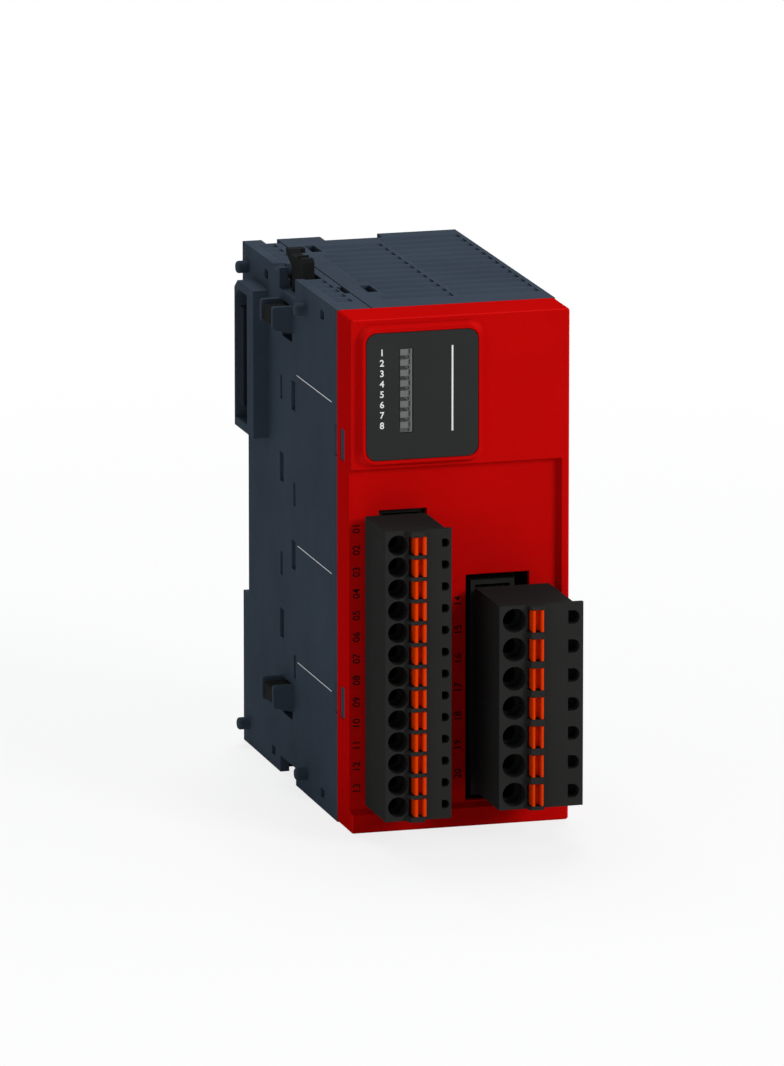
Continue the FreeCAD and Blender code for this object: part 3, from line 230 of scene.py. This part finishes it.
def clear_guide(name):
    """Smoky clear moulding of the lamp windows."""
    tree = Tree(name)
    tree.feed(tree.mix(tree.spread(tree.noise(HAZE_MM), 0.0, 1.0), grey(80), grey(88)), "Base Color")
    tree.feed(tree.spread(tree.noise(POLISH_MM), 0.4, 0.5), "Roughness")
    tree.shader.inputs["Specular IOR Level"].default_value = 0.2
    normal = tree.edges(radius_mm=0.08)[0]
    tree.bump(tree.noise(RIPPLE_MM), RIPPLE_DEEP_MM, normal)
    return tree.material


# The second colour of each plastic is a painted highlight on its soft edges; the cover's rim colour is a
# painted highlight on its rounded front edges.
LOOKS = {
    "housing": plastic("housing_blue_grey", colour(55, 64, 75), colour(72, 82, 94)),
    "cover": plastic("cover_red", colour(185, 9, 8), colour(205, 14, 12), rough=0.55, level=0.0,
                     shade=0.04, rim_highlight=colour(212, 21, 20)),
    "label": plastic("label_film", colour(46, 47, 46), grey(60), rough=0.55, level=0.005,
                     radius_mm=0.05, shade=0.05),
    "light_guide": clear_guide("guide_smoke"),
    "lock": plastic("lock_black", colour(28, 29, 29), colour(48, 48, 47), level=0.003),
    "plug": plastic("plug_black", colour(41, 41, 40), colour(56, 56, 55), radius_mm=0.12, shade=0.06),
    "lever": plastic("lever_orange", colour(215, 56, 4), colour(230, 70, 9), rough=0.5, level=0.01,
                     radius_mm=0.1, shade=0.05),
    "contact": metal("contact_tin", colour(190, 186, 170)),
    "bus": plastic("bus_black_blue", colour(28, 32, 41), colour(48, 54, 63), level=0.003),
    "board": laminate("board_green"),
    "relay": plastic("relay_ivory", colour(222, 220, 205), colour(240, 238, 228), rough=0.5, level=0.2),
    "chip": plastic("chip_black", grey(20), grey(50), rough=0.5, level=0.2),
    "can": metal("can_aluminium", colour(180, 180, 184), rough=0.25),
    "ferrite": plastic("core_grey", colour(30, 30, 32), colour(70, 70, 72), level=0.1),
}
for part in frame["record"]["subparts"]:
    mesh = nodes[part["node"]].data
    mesh.materials.clear()
    mesh.materials.append(LOOKS[part["material_slot"]])

# The second colour of each is a painted highlight on its soft edges.
INK_WHITE = plastic("ink_white", colour(226, 228, 226), grey(240), level=0.2, radius_mm=0.01, shade=0.03)
INK_BLACK = plastic("ink_black", colour(14, 6, 6), colour(30, 10, 10), level=0.05, radius_mm=0.01,
                    shade=0.05)
LENS = plastic("lamp_lens", grey(106), grey(120), rough=0.5, level=0.1, radius_mm=0.02, shade=0.04)
# Painted shade and painted shadow on the lamp strip: facets beside and below the lenses, darker shadow
# lines and the gap shadow.
LENS_SHADE = plastic("lamp_shade", grey(58), grey(70), level=0.05, radius_mm=0.01, shade=0.04)
LENS_SHADOW = plastic("lamp_painted_shadow", grey(23), grey(30), level=0.05, radius_mm=0.01, shade=0.04)

# Printed marks: each is a thin film on its surface

FILM = 0.02
STROKE_MORE = 0.025
CAP_SHARE = 0.72
FRONT = Matrix(((1, 0, 0), (0, 0, 1), (0, 1, 0)))
TURNED = Matrix(((0, -1, 0), (0, 0, 1), (1, 0, 0)))
BLOCK_FACES = ((0, 1, 3, 2), (4, 6, 7, 5), (0, 4, 5, 1), (2, 3, 7, 6), (0, 2, 6, 4), (1, 5, 7, 3))


def strip(mesh, low, high):
    """Adds a thin rectangular block between two corners in the case frame."""
    corners = [
        at(x, y, z)
        for x in (low[0], high[0]) for y in (low[1], high[1]) for z in (low[2], high[2])
    ]
    verts = [mesh.verts.new(corner) for corner in corners]
    for face in BLOCK_FACES:
        mesh.faces.new([verts[i] for i in face])


def words(mesh, text, cap, place, turn):
    """Adds text in bold strokes, centred on a place on a front face, with capitals this tall in
    millimetres."""
    curve = bpy.data.curves.new("text", "FONT")
    curve.body = text
    curve.size = cap / CAP_SHARE
    curve.align_x = "CENTER"
    curve.align_y = "CENTER"
    curve.extrude = FILM
    curve.offset = STROKE_MORE
    curve.resolution_u = 4
    holder = bpy.data.objects.new("text", curve)
    flat = bpy.data.meshes.new_from_object(holder)
    flat.transform(Matrix.Translation(at(*place)) @ Matrix.Scale(MM, 4) @ turn.to_4x4())
    mesh.from_mesh(flat)
    bpy.data.objects.remove(holder)
    bpy.data.curves.remove(curve)
    bpy.data.meshes.remove(flat)


def printed(name, draw, body, material):
    """A piece made of printed marks that a function adds to its mesh, riding on a body."""
    work = bmesh.new()
    draw(work)
    bmesh.ops.recalc_face_normals(work, faces=work.faces)
    mesh = bpy.data.meshes.new(name)
    work.to_mesh(mesh)
    work.free()
    mesh.materials.append(material)
    piece = bpy.data.objects.new(name, mesh)
    bpy.context.scene.collection.objects.link(piece)
    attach(piece, body)


# The label and its lamp strip

LABEL_FACE = -1.5
LABEL_RULE = ((17.32, LABEL_FACE - FILM, 70.2), (17.62, LABEL_FACE, 85.06))
LAMP_X = 8.2
LAMP_WIDE = 2.1
LAMP_Z = 70.4
LAMP_PITCH = 1.81
LAMP_COUNT = 8
STRIP_TOP = LAMP_Z + LAMP_COUNT * LAMP_PITCH
LAMP_NUMBER_X = 5.0
LAMP_NUMBER_UP = 0.7
LAMP_NUMBER_CAP = 1.15

# Outlines in one lamp window: across from the strip's left side, down from the window's top
LENS_OUTLINE = ((0.03, 0.04), (1.45, 0.04), (1.33, 1.1), (0.03, 1.1))
# The beside and below outlines are painted shade; the line outline is a darker painted shadow along the
# slanting facet.
BESIDE_OUTLINE = ((1.5, 0.04), (1.8, 0.04), (1.74, 0.9), (1.5, 0.8))
BELOW_OUTLINE = ((0.03, 1.13), (0.32, 1.13), (1.1, 1.78), (0.03, 1.78))
LINE_OUTLINE = ((0.34, 1.13), (0.52, 1.13), (1.24, 1.78), (1.12, 1.78))
BRIGHT_EDGE_X = 1.84
# Size of the painted shadow of the gap beside and below the strip.
GAP_SHADOW_WIDE = 0.24
GAP_SHADOW_TALL = 0.15


def facet(mesh, corners):
    """Adds a thin patch to the lamp strip's face, from corners across it and upward."""
    front = [mesh.verts.new(at(LAMP_X + x, LABEL_FACE - FILM, z)) for x, z in corners]
    rear = [mesh.verts.new(at(LAMP_X + x, LABEL_FACE, z)) for x, z in corners]
    mesh.faces.new(front)
    mesh.faces.new(rear[::-1])
    for i in range(len(corners)):
        mesh.faces.new((front[i - 1], front[i], rear[i], rear[i - 1]))


def window_facet(mesh, lamp, outline):
    """Adds a patch with one of the outlines to a lamp window, counted from the lowest."""
    top = LAMP_Z + (lamp + 1) * LAMP_PITCH
    facet(mesh, [(across, top - down) for across, down in outline])


def upright_facet(mesh, left, right, low, top):
    """Adds a rectangular patch to the lamp strip's face."""
    facet(mesh, ((left, top), (right, top), (right, low), (left, low)))


def label_marks(mesh):
    """The rule and the lamp numbers on the display label."""
    strip(mesh, *LABEL_RULE)
    for lamp in range(LAMP_COUNT):
        middle = LAMP_Z + (lamp + LAMP_NUMBER_UP) * LAMP_PITCH
        place = (LAMP_NUMBER_X, LABEL_FACE, middle)
        words(mesh, str(LAMP_COUNT - lamp), LAMP_NUMBER_CAP, place, FRONT)


def lens_marks(mesh):
    """The pale lens of each lamp window and the bright right edge of the strip."""
    for lamp in range(LAMP_COUNT):
        window_facet(mesh, lamp, LENS_OUTLINE)
    upright_facet(mesh, BRIGHT_EDGE_X, LAMP_WIDE, LAMP_Z, STRIP_TOP)


def lens_shades(mesh):
    """The shaded facets beside each lens and below all but the lowest."""
    for lamp in range(LAMP_COUNT):
        window_facet(mesh, lamp, BESIDE_OUTLINE)
        if lamp > 0:
            window_facet(mesh, lamp, BELOW_OUTLINE)


def lens_shadow_lines(mesh):
    """Painted shadow: the dark line along each slanting facet of painted shade, and the shadow of the
    gap at the right and lower sides of the strip.
    """
    for lamp in range(1, LAMP_COUNT):
        window_facet(mesh, lamp, LINE_OUTLINE)
    gap_shadow_low = LAMP_Z - GAP_SHADOW_TALL
    upright_facet(mesh, LAMP_WIDE, LAMP_WIDE + GAP_SHADOW_WIDE, gap_shadow_low, STRIP_TOP)
    upright_facet(mesh, 0.0, LAMP_WIDE, gap_shadow_low, LAMP_Z)


# Rules on the left face: front end, rear end and height
SIDE_RULES = ((12.5, 35.1, 73.26), (12.7, 34.8, 43.1), (12.8, 34.8, 22.3))
SIDE_RULE_HALF = 0.07

# Terminal numbers: poles, number of the lowest, place across, lower end of the row and pitch
POLE_ROWS = ((13, 13, 1.35, 5.78, 3.81), (7, 20, 19.4, 6.57, 5.08))
POLE_NUMBER_CAP = 1.3
RECESS_FACE = 1.5


def side_rules(mesh):
    """The three fine rules on the left face."""
    for front, rear, z in SIDE_RULES:
        strip(mesh, (-FILM, front, z - SIDE_RULE_HALF), (0.0, rear, z + SIDE_RULE_HALF))


def terminal_numbers(mesh):
    """The terminal numbers beside both plugs, counted from the top and reading upward."""
    for poles, lowest, across, start, pitch in POLE_ROWS:
        for pole in range(poles):
            place = (across, RECESS_FACE, start + (pole + 0.5) * pitch)
            words(mesh, "%02d" % (lowest - pole), POLE_NUMBER_CAP, place, TURNED)


printed("label_print", label_marks, "case", INK_WHITE)
printed("lamp_lenses", lens_marks, "case", LENS)
printed("lamp_facets", lens_shades, "case", LENS_SHADE)
printed("lamp_shadow_lines", lens_shadow_lines, "case", LENS_SHADOW)
printed("side_print", side_rules, "case", INK_WHITE)
printed("terminal_print", terminal_numbers, "case", INK_BLACK)

# Camera at the photograph's place

CAMERA_TILT = 77.22
CAMERA_TURN = -15.73

camera = bpy.data.objects.new("camera", bpy.data.cameras.new("camera"))
camera.data.lens = 396.6
camera.data.sensor_width = 36.0
camera.data.clip_end = 20.0
camera.location = at(-522.59, -1880.99, 495.83)
camera.rotation_euler = (math.radians(CAMERA_TILT), 0.0, math.radians(CAMERA_TURN))
bpy.context.scene.collection.objects.link(camera)
bpy.context.scene.camera = camera

# Floor, world and lamps

FLOOR_GAP_MM = 0.02
FLOOR_REACH_M = 6.0
PAPER = (0.8, 0.8, 0.8, 1.0)
SKY = (0.9, 0.95, 1.0, 1.0)
SKY_STRENGTH = 0.36
WHITE = (1.0, 1.0, 1.0, 1.0)
LAMP_AIM = Vector((0.0, -0.03, 0.0))


def seen_rays(tree):
    """One for camera rays and for those that a mirror or a clear piece sends on, else nothing."""
    path = tree.nodes.new("ShaderNodeLightPath")
    seen = path.outputs["Is Camera Ray"]
    for word in ("Is Glossy Ray", "Is Transmission Ray"):
        either = tree.nodes.new("ShaderNodeMath")
        either.operation = "MAXIMUM"
        tree.links.new(seen, either.inputs[0])
        tree.links.new(path.outputs[word], either.inputs[1])
        seen = either.outputs["Value"]
    return seen


def away_share(tree, near, near_m, far_m):
    """A share for the seen rays that grows from its near value to one with the distance from the
    object."""
    place = tree.nodes.new("ShaderNodeTexCoord")
    away = tree.nodes.new("ShaderNodeVectorMath")
    away.operation = "LENGTH"
    grown = tree.nodes.new("ShaderNodeMapRange")
    for i, value in enumerate((near_m, far_m, near, 1.0), start=1):
        grown.inputs[i].default_value = value
    part = tree.nodes.new("ShaderNodeMath")
    part.operation = "MULTIPLY"
    tree.links.new(place.outputs["Object"], away.inputs[0])
    tree.links.new(away.outputs["Value"], grown.inputs["Value"])
    tree.links.new(grown.outputs["Result"], part.inputs[0])
    tree.links.new(seen_rays(tree), part.inputs[1])
    return part.outputs["Value"]


def paper():
    """Matt white paper that turns plain white away from the object and keeps its shadow near it."""
    material = bpy.data.materials.new("paper")
    material.use_nodes = True
    tree = material.node_tree
    shader = tree.nodes["Principled BSDF"]
    shader.inputs["Base Color"].default_value = PAPER
    shader.inputs["Roughness"].default_value = 0.9
    shader.inputs["Specular IOR Level"].default_value = 0.0
    glow = tree.nodes.new("ShaderNodeEmission")
    both = tree.nodes.new("ShaderNodeMixShader")
    tree.links.new(away_share(tree, near=0.8, near_m=0.1, far_m=0.35), both.inputs["Fac"])
    tree.links.new(shader.outputs["BSDF"], both.inputs[1])
    tree.links.new(glow.outputs["Emission"], both.inputs[2])
    tree.links.new(both.outputs["Shader"], tree.nodes["Material Output"].inputs["Surface"])
    return material


def floor_grid():
    """One large square just below the base."""
    height = at(0, 0, -FLOOR_GAP_MM).z
    work = bmesh.new()
    bmesh.ops.create_grid(work, x_segments=1, y_segments=1, size=FLOOR_REACH_M,
                          matrix=Matrix.Translation((0, 0, height)))
    mesh = bpy.data.meshes.new("floor")
    work.to_mesh(mesh)
    work.free()
    mesh.materials.append(paper())
    return mesh


floor = bpy.data.objects.new("floor", floor_grid())
bpy.context.scene.collection.objects.link(floor)

world = bpy.data.worlds.new("studio")
world.use_nodes = True
bpy.context.scene.world = world
sky_tree = world.node_tree
sky = sky_tree.nodes["Background"]
sky.inputs["Color"].default_value = SKY
sky.inputs["Strength"].default_value = SKY_STRENGTH
plain = sky_tree.nodes.new("ShaderNodeBackground")
plain.inputs["Color"].default_value = WHITE
sky_mix = sky_tree.nodes.new("ShaderNodeMixShader")
sky_tree.links.new(seen_rays(sky_tree), sky_mix.inputs["Fac"])
sky_tree.links.new(sky.outputs["Background"], sky_mix.inputs[1])
sky_tree.links.new(plain.outputs["Background"], sky_mix.inputs[2])
sky_tree.links.new(sky_mix.outputs["Shader"], sky_tree.nodes["World Output"].inputs["Surface"])


def lamp(name, place, size, power):
    """A square soft lamp that points at the middle of the object. Its place and size are in metres."""
    data = bpy.data.lights.new(name, "AREA")
    data.shape = "SQUARE"
    data.size = size
    data.energy = power
    holder = bpy.data.objects.new(name, data)
    holder.location = place
    aim = LAMP_AIM - Vector(place)
    holder.rotation_euler = aim.to_track_quat("-Z", "Y").to_euler()
    bpy.context.scene.collection.objects.link(holder)


lamp("key", place=(0.85, -1.3, 0.65), size=0.6, power=14.0)
lamp("fill", place=(-1.0, -1.0, 0.0), size=0.8, power=2.6)
lamp("top", place=(0.1, 0.7, 1.5), size=0.8, power=17.5)

bpy.context.scene.view_settings.view_transform = "Standard"
